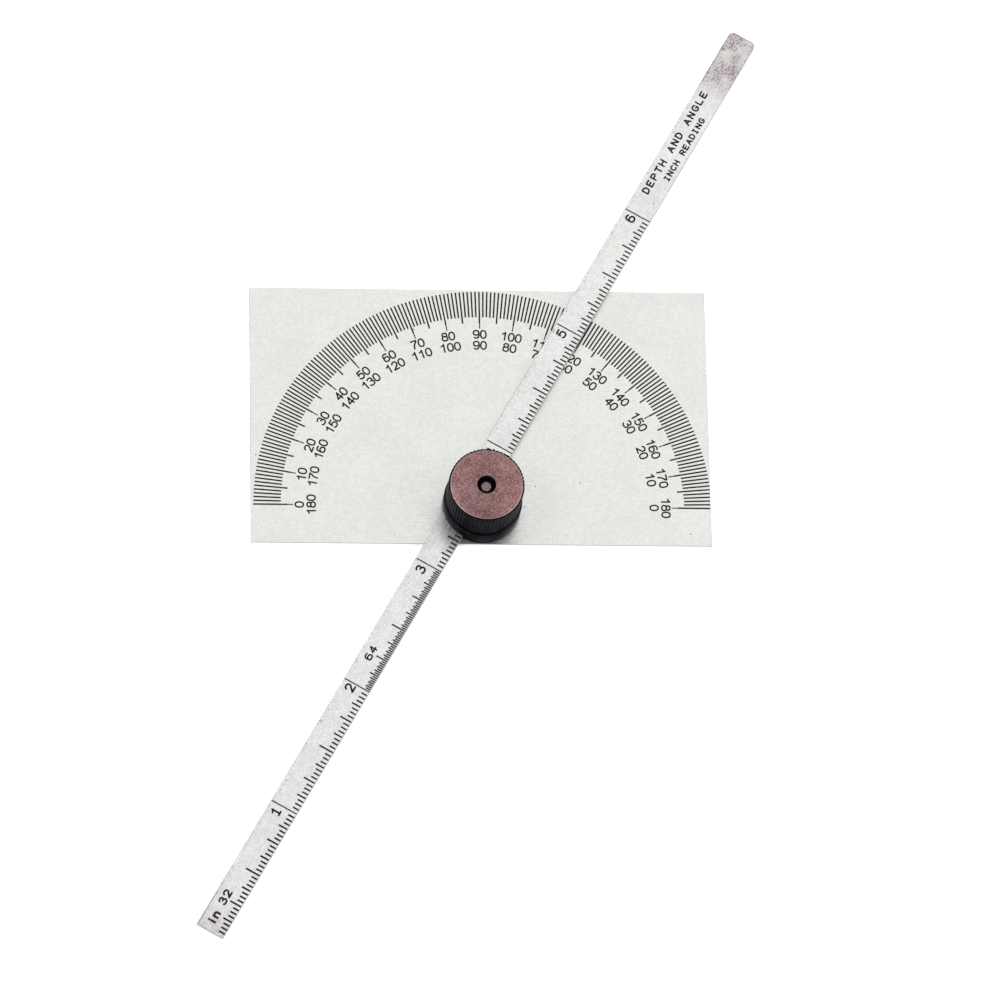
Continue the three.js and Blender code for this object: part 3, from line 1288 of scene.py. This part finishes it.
@dataclass
class Head:
    """The rectangular head with its half-circle scale."""

    degrees: int = 180
    five_step: int = 5
    ten_step: int = 10
    scale_offset: float = 0.28 * MM
    outer_radius: float = 40.10 * MM
    rim_margin: float = 0.12 * MM
    degree_radius: float = 35.3 * MM
    five_radius: float = 34.2 * MM
    ten_radius: float = 33.15 * MM
    line_width: float = 0.28 * MM
    ten_line_width: float = 0.19 * MM
    outer_row_radius: float = 32.08 * MM
    inner_row_radius: float = 30.02 * MM
    figure_height: float = 1.70 * MM
    figure_pitch: float = 1.26 * MM
    figure_stretch: float = 1.08
    pen_width: float = 0.28 * MM
    ink_depth: float = 0.03 * MM
    ink_rise: float = 0.012 * MM
    hand_jitter: float = 0.03 * MM
    seed: int = 11

    @property
    def face(self) -> float:
        """Height of the graduated face."""
        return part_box("head_plate")[1].z

    def _line(self, draft: MeshDraft, degree: int, inner: float, outer: float, width: float) -> None:
        """Adds one radial line of the scale, cut short at the head's end.

        Args:
            draft: the draft that takes the line.
            degree: its place, counted from the left.
            inner: radius of its inner end.
            outer: radius of its outer end, where the head reaches that far.
            width: its width.
        """
        angle = math.radians(self.degrees - degree)
        out = Vector((math.cos(angle), math.sin(angle)))
        side = Vector((-out.y, out.x)) * width / 2
        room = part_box("head_plate")[1].x - self.rim_margin - self.scale_offset
        if out.x > 0:
            outer = min(outer, room / out.x)
        corners = [out * inner - side, out * outer - side, out * outer + side, out * inner + side]
        outline = [tuple(corner) for corner in corners]
        draft.add_prism(outline, self.face - self.ink_depth, self.face + self.ink_rise)

    def build_lines(self) -> Piece:
        """Builds the scale's lines, one to a degree.

        Returns:
            The lines as one piece.
        """
        draft = MeshDraft()
        hand = random.Random(self.seed)
        for degree in range(self.degrees + 1):
            slip = hand.uniform(-1, 1) * self.hand_jitter
            start = self.five_radius if degree % self.five_step == 0 else self.degree_radius
            self._line(draft, degree, start + slip, self.outer_radius, self.line_width)
            if degree % self.ten_step == 0:
                self._line(draft, degree, self.ten_radius, start + slip, self.ten_line_width)
        return draft.build("degree_lines", Matrix.Translation((self.scale_offset, 0.0, 0.0)))

    def build_figures(self) -> Piece:
        """Builds both rows of figures, tops outwards.

        Returns:
            The figures as one piece.
        """
        low, high = self.face - self.ink_depth, self.face + self.ink_rise
        pen = Pen(self.pen_width, self.figure_height, self.figure_pitch, low, high, self.figure_stretch)
        draft = MeshDraft()
        for degree in range(0, self.degrees + 1, self.ten_step):
            turn = Matrix.Rotation(math.radians(self.degrees / 2 - degree), 4, "Z")
            rows = ((self.outer_row_radius, degree), (self.inner_row_radius, self.degrees - degree))
            for radius, number in rows:
                text = str(number)
                corner = (-pen.text_width(text) / 2, radius - self.figure_height / 2, 0.0)
                pen.write(draft, text, turn @ Matrix.Translation(corner))
        return draft.build("degree_figures", Matrix.Translation((self.scale_offset, 0.0, 0.0)))

    def build(self, ink: Material) -> None:
        """Dresses the head and lays its scale.

        Args:
            ink: the filling of the etched scale.
        """
        finish = SatinStainless(
            "head_stainless",
            colour=(0.812, 0.819, 0.786),
            mottle_colour=(0.735, 0.742, 0.720),
            # Painted shade: the side and corner colours darken the plate's thickness faces and bevels, where its
            # edges fall in shade.
            side_colour=(0.72, 0.72, 0.71),
            corner_colour=(0.36, 0.36, 0.36),
        )
        dress_node("head_plate", finish.material())
        for piece in (self.build_lines(), self.build_figures()):
            dress(piece, ink)
            settle(piece, Body.HEAD, Slot.INK)


@dataclass(frozen=True)
class ScaleText:
    """A text on the blade and the pen that cuts it.

    Attributes:
        text: the text.
        start: from the zero end to its left side.
        foot: from the graduated edge to its foot.
        height: its height.
        length: its length.
        pen_width: the pen's width.
    """

    text: str
    start: float
    foot: float
    height: float
    length: float
    pen_width: float


@dataclass
class Blade:
    """The narrow rule with its inch scale."""

    axes: BladeAxes
    inches: int = 6
    fine_inch: int = 2
    coarse_parts: int = 32
    fine_parts: int = 64
    edge_inset: float = 0.10 * MM
    line_widths: tuple[float, ...] = (
        0.33 * MM, 0.30 * MM, 0.27 * MM, 0.30 * MM, 0.29 * MM, 0.28 * MM,
    )
    inch_line_width: float = 0.22 * MM
    line_lengths: tuple[tuple[int, float], ...] = (
        (64, 4.95 * MM),
        (32, 2.78 * MM),
        (16, 2.25 * MM),
        (8, 1.75 * MM),
        (2, 1.25 * MM),
        (1, 1.00 * MM),
    )
    figure_pen_width: float = 0.33 * MM
    ink_depth: float = 0.03 * MM
    ink_rise: float = 0.012 * MM
    hand_jitter: float = 0.03 * MM
    seed: int = 5
    labels: tuple[ScaleText, ...] = (
        ScaleText("in", 1.32 * MM, 2.38 * MM, 1.60 * MM, 2.50 * MM, 0.42 * MM),
        ScaleText("32", 5.10 * MM, 2.52 * MM, 1.55 * MM, 2.80 * MM, 0.33 * MM),
        ScaleText("64", 55.70 * MM, 2.60 * MM, 1.48 * MM, 2.75 * MM, 0.29 * MM),
    )
    figure_foot: float = 2.45 * MM
    figure_height: float = 1.85 * MM
    figure_gaps: tuple[float, ...] = (
        0.80 * MM, 0.34 * MM, 0.70 * MM, 0.92 * MM, 0.60 * MM, 0.50 * MM,
    )
    figure_stretch: float = 1.12
    label_stretch: float = 1.3
    word_stretch: float = 1.25
    words: tuple[ScaleText, ...] = (
        ScaleText("DEPTH AND ANGLE", 156.8 * MM, 2.80 * MM, 1.42 * MM, 22.7 * MM, 0.31 * MM),
        ScaleText("INCH READING", 160.8 * MM, 0.80 * MM, 1.20 * MM, 14.0 * MM, 0.28 * MM),
    )

    def _place(self, distance: float, across: float) -> Matrix:
        """Where a point lies that is a distance from the zero end and off the graduated edge."""
        shift = Matrix.Translation((self.axes.zero_end + distance, across, 0.0))
        return self.axes.matrix() @ shift

    def _line_length(self, sixty_fourth: int) -> float:
        """Length of the line at a count of sixty-fourths of an inch."""
        return next(length for step, length in self.line_lengths if sixty_fourth % step == 0)

    def build_lines(self) -> Piece:
        """Builds the inch scale's lines.

        Returns:
            The lines as one piece.
        """
        draft = MeshDraft()
        hand = random.Random(self.seed)
        low, high = self.axes.top - self.ink_depth, self.axes.top + self.ink_rise
        for inch in range(self.inches):
            parts = self.fine_parts if inch == self.fine_inch else self.coarse_parts
            for part in range(1, parts + 1):
                length = self._line_length(part * self.fine_parts // parts)
                reach = length + hand.uniform(-1, 1) * self.hand_jitter
                x = self.axes.zero_end + (inch + part / parts) * INCH
                half = (self.line_widths[inch] if part < parts else self.inch_line_width) / 2
                draft.add_prism(rectangle((x - half, self.edge_inset), (x + half, reach)), low, high)
        return draft.build("inch_lines", self.axes.matrix())

    def _write(self, draft: MeshDraft, text: ScaleText, stretch: float) -> None:
        """Writes one text, spaced to fill its length.

        Args:
            draft: the draft that takes the ink.
            text: the text and its place.
            stretch: width of a letter against the drawn cell.
        """
        low, high = self.axes.top - self.ink_depth, self.axes.top + self.ink_rise
        pen = Pen(text.pen_width, text.height, 0.0, low, high, stretch)
        letter = pen.text_width("0")
        pen.pitch = (text.length - letter) / max(1, len(text.text) - 1)
        pen.write(draft, text.text, self._place(text.start, text.foot))

    def build_figures(self) -> Piece:
        """Builds the inch figures and the short labels.

        Returns:
            The figures as one piece.
        """
        draft = MeshDraft()
        low, high = self.axes.top - self.ink_depth, self.axes.top + self.ink_rise
        pen = Pen(
            self.figure_pen_width, self.figure_height, 0.0, low, high, self.figure_stretch, footed=True,
        )
        for inch, gap in enumerate(self.figure_gaps, start=1):
            start = inch * INCH - gap - pen.text_width("0")
            pen.write(draft, str(inch), self._place(start, self.figure_foot))
        for label in self.labels:
            self._write(draft, label, self.label_stretch)
        return draft.build("inch_figures")

    def build_words(self) -> Piece:
        """Builds the plain words on the blank end.

        Returns:
            The words as one piece.
        """
        draft = MeshDraft()
        for words in self.words:
            self._write(draft, words, self.word_stretch)
        return draft.build("blade_words")

    def build(self, ink: Material) -> None:
        """Dresses the blade and lays its scale.

        Args:
            ink: the filling of the etched scale.
        """
        finish = HandledBlade(
            "blade_stainless",
            colour=(0.840, 0.847, 0.825),
            mottle_colour=(0.690, 0.695, 0.685),
            # Painted shade: the dark side and corner colours draw the blade's edges as dark lines. They stand for
            # the shadow in the gap under the edge and the dark that the edge reflects.
            side_colour=(0.27, 0.265, 0.26),
            corner_colour=(0.30, 0.295, 0.29),
            grain_turn=self.axes.angle,
        )
        dress_node("blade", finish.material())
        for piece in (self.build_lines(), self.build_figures(), self.build_words()):
            dress(piece, ink)
            settle(piece, Body.BLADE, Slot.INK)


@dataclass(frozen=True)
class ScrewThread:
    """A right-hand thread cut along Z."""

    pitch: float = 0.5 * MM
    depth: float = 0.18 * MM
    crest_share: float = 0.2

    def cut(self, turn: float, height: float) -> float:
        """Depth of the groove at a share of a turn and a height.

        Args:
            turn: share of a full turn.
            height: height along the thread.

        Returns:
            The groove's depth there.
        """
        phase = (height / self.pitch - turn) % 1.0
        flank = min(phase, 1.0 - phase) * 2
        return self.depth * min(1.0, max(0.0, (flank - self.crest_share) / (1 - self.crest_share)))

    def rows(self, low: float, high: float, steps_per_pitch: int = 8) -> list[float]:
        """Heights that follow the thread closely enough, from one end to the other."""
        count = max(1, round(abs(high - low) / self.pitch * steps_per_pitch))
        return [low + (high - low) * i / count for i in range(count + 1)]


@dataclass
class Turret:
    """The clamp stud and the guide collar, which turn with the blade."""

    axes: BladeAxes
    thread: ScrewThread
    stud_columns: int = 96
    collar_columns: int = 192
    flange_radius: float = 4.5 * MM
    flange_height: float = 0.55 * MM
    flange_rounding: float = 0.12 * MM
    journal_radius: float = 2.5 * MM
    thread_radius: float = 1.5 * MM
    tip_radius: float = 0.82 * MM
    gap: float = 0.05 * MM
    ledge_height: float = 0.6 * MM
    collar_rounding: float = 0.28 * MM
    foot_rounding: float = 0.12 * MM
    turn_gap: float = 0.06 * MM
    overrun: float = 1 * MM
    flange_steps: int = 3
    foot_steps: int = 4
    rim_steps: int = 6

    @property
    def channel_roof(self) -> float:
        """Height of the channel's roof over the blade."""
        return self.axes.top + self.gap

    def _box_tool(self, low: Place, high: Place) -> Piece:
        """A box cutter in the blade's own axes.

        Args:
            low: its lowest corner.
            high: its highest corner.

        Returns:
            The cutter.
        """
        tool = MeshDraft()
        tool.add_prism(rectangle(low[:2], high[:2]), low[2], high[2])
        return tool.build("box_tool", self.axes.matrix())

    def _round_tool(self, radius: float, low: float, high: float) -> Piece:
        """A round cutter on the pivot axis.

        Args:
            radius: its radius.
            low: height of its lower face.
            high: height of its upper face.

        Returns:
            The cutter.
        """
        body = Revolution(self.stud_columns)
        body.circle(radius, low)
        body.circle(radius, high)
        return body.draft(ring=False).build("round_tool")

    def build_stud(self) -> Piece:
        """Builds the stud: flush flange, journal, half-round neck, ledge and thread.

        Returns:
            The stud.
        """
        low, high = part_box("clamp_stud")
        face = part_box("head_plate")[1].z
        ledge_top = self.channel_roof + self.ledge_height
        body = Revolution(self.stud_columns)
        centre = (self.flange_radius - self.flange_rounding, low.z + self.flange_rounding)
        body.arc(centre, self.flange_rounding, -90, 0, self.flange_steps)
        body.circle(self.flange_radius, low.z + self.flange_height)
        body.circle(self.journal_radius, low.z + self.flange_height)
        body.circle(self.journal_radius, ledge_top)
        body.circle(self.thread_radius, ledge_top)
        chamfer = self.thread_radius - self.tip_radius

        def radius_at(turn: float, height: float) -> float:
            """Radius of the threaded end, with its chamfered tip."""
            tip = self.tip_radius + (high.z - height)
            return min(self.thread_radius - self.thread.cut(turn, height), tip)

        for height in self.thread.rows(ledge_top + chamfer, high.z):
            body.shaped(radius_at, height)
        stud = body.draft(ring=False).build("stud_turned")
        reach = self.journal_radius + self.overrun
        tool = self._box_tool((-reach, -self.gap, face), (reach, reach, self.channel_roof))
        apply_tool(stud, tool, Tooling.CUT)
        smooth_with_sharp_edges(stud)
        return stud

    def build_collar(self) -> Piece:
        """Builds the collar with rounded rims, the blade's channel and its stepped bore.

        Returns:
            The collar.
        """
        low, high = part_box("guide_collar")
        radius = (high.x - low.x) / 2
        body = Revolution(self.collar_columns)
        foot = self.foot_rounding
        rim = self.collar_rounding
        body.arc((radius - foot, low.z + foot), foot, -90, 0, self.foot_steps)
        body.arc((radius - rim, high.z - rim), rim, 0, 90, self.rim_steps)
        collar = body.draft(ring=False).build("collar_turned")
        reach = radius + self.overrun
        width = self.axes.width + self.gap
        below = low.z - self.overrun
        ledge_top = self.channel_roof + self.ledge_height + self.gap
        tools = [
            self._box_tool((-reach, -self.gap, below), (reach, width, self.channel_roof)),
            self._round_tool(self.journal_radius + self.turn_gap, below, ledge_top),
            self._round_tool(self.thread_radius + self.turn_gap, below, high.z + self.overrun),
        ]
        for tool in tools:
            apply_tool(collar, tool, Tooling.CUT)
        smooth_with_sharp_edges(collar)
        return collar

    def build(self) -> None:
        """Builds and dresses the stud and the collar, and dresses the wave washer under the nut."""
        stud = self.build_stud()
        dress(stud, TurnedSteel("stud_steel").material())
        settle(stud, Body.TURRET, Slot.STUD, "clamp_stud")
        collar = self.build_collar()
        dress(collar, BlackOxide("collar_oxide").material())
        settle(collar, Body.TURRET, Slot.COLLAR, "guide_collar")
        spring = TurnedSteel(
            "spring_steel", colour=(0.24, 0.23, 0.22), tarnish_colour=(0.15, 0.14, 0.13),
        )
        dress_node("wave_washer", spring.material())


@dataclass
class LockNut:
    """The knurled nut that locks the blade and the swivel, with its thrust washer."""

    thread: ScrewThread
    ridges: int = 60
    columns_per_ridge: int = 10
    knurl_depth: float = 0.10 * MM
    crest_share: float = 0.42
    root_share: float = 0.10
    face_radius: float = 6.20 * MM
    rim_width: float = 0.07 * MM
    rim_drop: float = 0.03 * MM
    shoulder_drop: float = 0.09 * MM
    foot_chamfer: float = 0.20 * MM
    chamfer_rows: int = 6
    bore_radius: float = 1.56 * MM
    bore_chamfer: float = 0.12 * MM
    threaded_depth: float = 3.0 * MM
    pocket_radius: float = 4.6 * MM
    pocket_height: float = 1.45 * MM
    sharp_edge_deg: float = 28.0

    def _knurl(self, turn: float, radius: float) -> float:
        """Radius of the knurled side.

        Args:
            turn: share of a full turn.
            radius: the radius over the ridges.

        Returns:
            The radius there.
        """
        phase = (turn * self.ridges) % 1.0
        away = abs(phase - 0.5) * 2
        start, end = self.root_share, 1 - self.crest_share
        share = min(1.0, max(0.0, (away - start) / (end - start)))
        rise = share * share * (3 - 2 * share)
        return radius - self.knurl_depth * (1 - rise)

    def _outside(self, body: Revolution, low: float, high: float, radius: float) -> None:
        """Adds the knurled side, from the foot's chamfer up to the shoulder under the top face.

        Args:
            body: the surface that takes the rows.
            low: height of the nut's foot.
            high: height of its top face.
            radius: radius over the ridges.
        """
        inside = self.face_radius + self.rim_width
        shoulder = high - self.rim_drop

        def foot(turn: float, height: float) -> float:
            """Radius of the knurled side where the foot's chamfer cuts it."""
            return min(self._knurl(turn, radius), radius - self.foot_chamfer + height - low)

        def crown(turn: float, height: float) -> float:
            """Radius of the knurled side where the shoulder cuts it."""
            cut = inside + (radius - inside) * (shoulder - height) / self.shoulder_drop
            return max(inside, min(self._knurl(turn, radius), cut))

        for i in range(self.chamfer_rows + 1):
            body.shaped(foot, low + self.foot_chamfer * i / self.chamfer_rows)
        for i in range(self.chamfer_rows + 1):
            body.shaped(crown, shoulder - self.shoulder_drop * (1 - i / self.chamfer_rows))

    def _inside(self, body: Revolution, low: float, high: float) -> None:
        """Adds the threaded bore and the pocket for the washer, from the top down.

        Args:
            body: the surface that takes the rows.
            low: height of the nut's foot.
            high: height of its top face.
        """

        def bore(turn: float, height: float) -> float:
            """Radius of the threaded bore."""
            return self.bore_radius + self.thread.cut(turn, height)

        mouth = high - self.bore_chamfer
        for height in self.thread.rows(mouth, mouth - self.threaded_depth):
            body.shaped(bore, height)
        body.circle(self.bore_radius, low + self.pocket_height)
        body.circle(self.pocket_radius, low + self.pocket_height)
        body.circle(self.pocket_radius, low)

    def build_nut(self, side: Material, face: Material, rim: Material) -> Piece:
        """Builds and dresses the nut.

        Args:
            side: finish of the knurled side and the inside.
            face: finish of the turned top face, painted sheen.
            rim: painted highlight on the chamfers round that face.

        Returns:
            The nut.
        """
        low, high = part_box("lock_nut")
        body = Revolution(self.ridges * self.columns_per_ridge)
        self._outside(body, low.z, high.z, (high.x - low.x) / 2)
        top_row = len(body.rows)
        body.circle(self.face_radius, high.z)
        body.circle(self.bore_radius + self.bore_chamfer, high.z)
        self._inside(body, low.z, high.z)
        nut = body.draft(ring=True).build("nut_knurled")
        dress(nut, side, face, rim)
        # The chamfers round the face take the painted highlight, the face itself its painted sheen.
        face_slot, rim_highlight_slot = 1, 2
        for row, slot in ((top_row - 1, rim_highlight_slot), (top_row, face_slot), (top_row + 1, rim_highlight_slot)):
            for i in range(row * body.columns, (row + 1) * body.columns):
                nut.data.polygons[i].material_index = slot
        smooth_with_sharp_edges(nut, self.sharp_edge_deg)
        return nut

    def build(self) -> None:
        """Builds and dresses the nut, and dresses the washer that it turns on."""
        side = BlackOxide("nut_oxide", ring_roughness=Spread(0.3, 0.7, 0.26, 0.42))
        # Painted sheen: the top face takes a plum brown far lighter than the oxide of the side.
        face = BrownedFace(
            "face_sheen", colour=(0.180, 0.094, 0.097), pale_colour=(0.370, 0.214, 0.208),
        )
        # Painted highlight: the chamfers round the top face are paler still.
        rim = BrownedFace(
            "rim_highlight", colour=(0.430, 0.330, 0.310), pale_colour=(0.520, 0.420, 0.400),
        )
        nut = self.build_nut(side.material(), face.material(), rim.material())
        settle(nut, Body.NUT, Slot.NUT, "lock_nut")
        washer = TurnedSteel(
            "washer_steel", colour=(0.34, 0.33, 0.32), tarnish_colour=(0.22, 0.21, 0.20),
        )
        dress_node("thrust_washer", washer.material())


# ---------------------------------------------------------------------------------------------
# Studio
# ---------------------------------------------------------------------------------------------


@dataclass(frozen=True)
class SoftBox:
    """A square soft light aimed at the object."""

    name: str
    azimuth_deg: float
    elevation_deg: float
    distance: float
    size: float
    power: float
    colour: Colour = (1.0, 1.0, 1.0)


@dataclass
class Studio:
    """The floor, the lights and the camera."""

    azimuth_deg: float = -14.629
    elevation_deg: float = 69.984
    roll_deg: float = 14.353
    distance: float = 1092.97 * MM
    aim: Place = (3.27 * MM, 1.19 * MM, 1.2 * MM)
    lens_mm: float = 225.44
    sensor_mm: float = 36.0
    floor_size: float = 6.0
    floor_gap: float = 0.05 * MM
    horizon_light: float = 0.90
    zenith_light: float = 1.06
    opening_light: float = 0.05
    opening_full_deg: float = 16.0
    opening_edge_deg: float = 36.0
    boxes: tuple[SoftBox, ...] = (
        SoftBox("key_light", -70, 50, 1.2, 0.8, 8.0),
        SoftBox("fill_light", 80, 45, 1.4, 0.8, 5.0),
    )

    @staticmethod
    def _direction(azimuth_deg: float, elevation_deg: float) -> Vector:
        """The direction from the object towards a place round it."""
        a, e = math.radians(azimuth_deg), math.radians(elevation_deg)
        return Vector((math.sin(a) * math.cos(e), -math.cos(a) * math.cos(e), math.sin(e)))

    def build_floor(self) -> None:
        """Lays a wide pale floor, a hair under the head's back."""
        low = CAD_BOX[0].z - self.floor_gap
        half = self.floor_size / 2
        sheet = MeshDraft()
        corners = rectangle((-half, -half), (half, half))
        sheet.add([Vector((x, y, low)) for x, y in corners], [(0, 1, 2, 3)])
        floor = sheet.build("studio_floor")
        dress(floor, PalePaper().material())

    def build_lights(self) -> None:
        """Hangs the soft boxes."""
        for box in self.boxes:
            lamp = bpy.data.lights.new(box.name, "AREA")
            lamp.size = box.size
            lamp.energy = box.power
            lamp.color = box.colour
            holder = bpy.data.objects.new(box.name, lamp)
            direction = self._direction(box.azimuth_deg, box.elevation_deg)
            holder.location = direction * box.distance
            holder.rotation_euler = direction.to_track_quat("Z", "Y").to_euler()
            bpy.context.scene.collection.objects.link(holder)

    def build_room(self) -> None:
        """Sets the even light of a white tent that has one dark opening, round the lens."""
        world = bpy.data.worlds.new("studio_room")
        world.use_nodes = True
        tree = world.node_tree
        sky = tree.nodes["Background"]
        place = tree.nodes.new("ShaderNodeTexCoord").outputs["Generated"]
        split = tree.nodes.new("ShaderNodeSeparateXYZ")
        spread = tree.nodes.new("ShaderNodeMapRange")
        spread.inputs["To Min"].default_value = self.horizon_light
        spread.inputs["To Max"].default_value = self.zenith_light
        nearness = tree.nodes.new("ShaderNodeVectorMath")
        nearness.operation = "DOT_PRODUCT"
        nearness.inputs[1].default_value = self._direction(self.azimuth_deg, self.elevation_deg)
        opening = tree.nodes.new("ShaderNodeMapRange")
        opening.interpolation_type = "SMOOTHSTEP"
        opening.inputs["From Min"].default_value = math.cos(math.radians(self.opening_edge_deg))
        opening.inputs["From Max"].default_value = math.cos(math.radians(self.opening_full_deg))
        opening.inputs["To Min"].default_value = 1.0
        opening.inputs["To Max"].default_value = self.opening_light
        product = tree.nodes.new("ShaderNodeMath")
        product.operation = "MULTIPLY"
        tree.links.new(place, split.inputs["Vector"])
        tree.links.new(split.outputs["Z"], spread.inputs["Value"])
        tree.links.new(place, nearness.inputs[0])
        tree.links.new(nearness.outputs["Value"], opening.inputs["Value"])
        tree.links.new(spread.outputs["Result"], product.inputs[0])
        tree.links.new(opening.outputs["Result"], product.inputs[1])
        tree.links.new(product.outputs["Value"], sky.inputs["Strength"])
        sky.inputs["Color"].default_value = (1.0, 1.0, 1.0, 1.0)
        bpy.context.scene.world = world

    def build_camera(self) -> None:
        """Sets up the long lens that looks down on the face."""
        back = self._direction(self.azimuth_deg, self.elevation_deg)
        azimuth, roll = math.radians(self.azimuth_deg), math.radians(self.roll_deg)
        level = Vector((math.cos(azimuth), math.sin(azimuth), 0.0))
        upright = back.cross(level)
        right = level * math.cos(roll) + upright * math.sin(roll)
        up = upright * math.cos(roll) - level * math.sin(roll)
        turn = Matrix((right, up, back)).transposed().to_4x4()
        data = bpy.data.cameras.new("camera")
        data.lens = self.lens_mm
        data.sensor_width = self.sensor_mm
        camera = bpy.data.objects.new("camera", data)
        camera.matrix_world = Matrix.Translation(Vector(self.aim) + back * self.distance) @ turn
        bpy.context.scene.collection.objects.link(camera)
        bpy.context.scene.camera = camera

    def build(self) -> None:
        """Builds the whole studio."""
        self.build_camera()
        self.build_floor()
        self.build_lights()
        self.build_room()
        bpy.context.scene.view_settings.view_transform = "Standard"


def main() -> None:
    """Builds the studio and every sub-assembly."""
    logging.basicConfig(level=logging.INFO, format="%(name)s: %(message)s")
    axes = BladeAxes.from_frame()
    thread = ScrewThread()
    ink = EtchedInk().material()
    Studio().build()
    Head().build(ink)
    Blade(axes).build(ink)
    Turret(axes, thread).build()
    LockNut(thread).build()


if __name__ == "__main__":
    main()
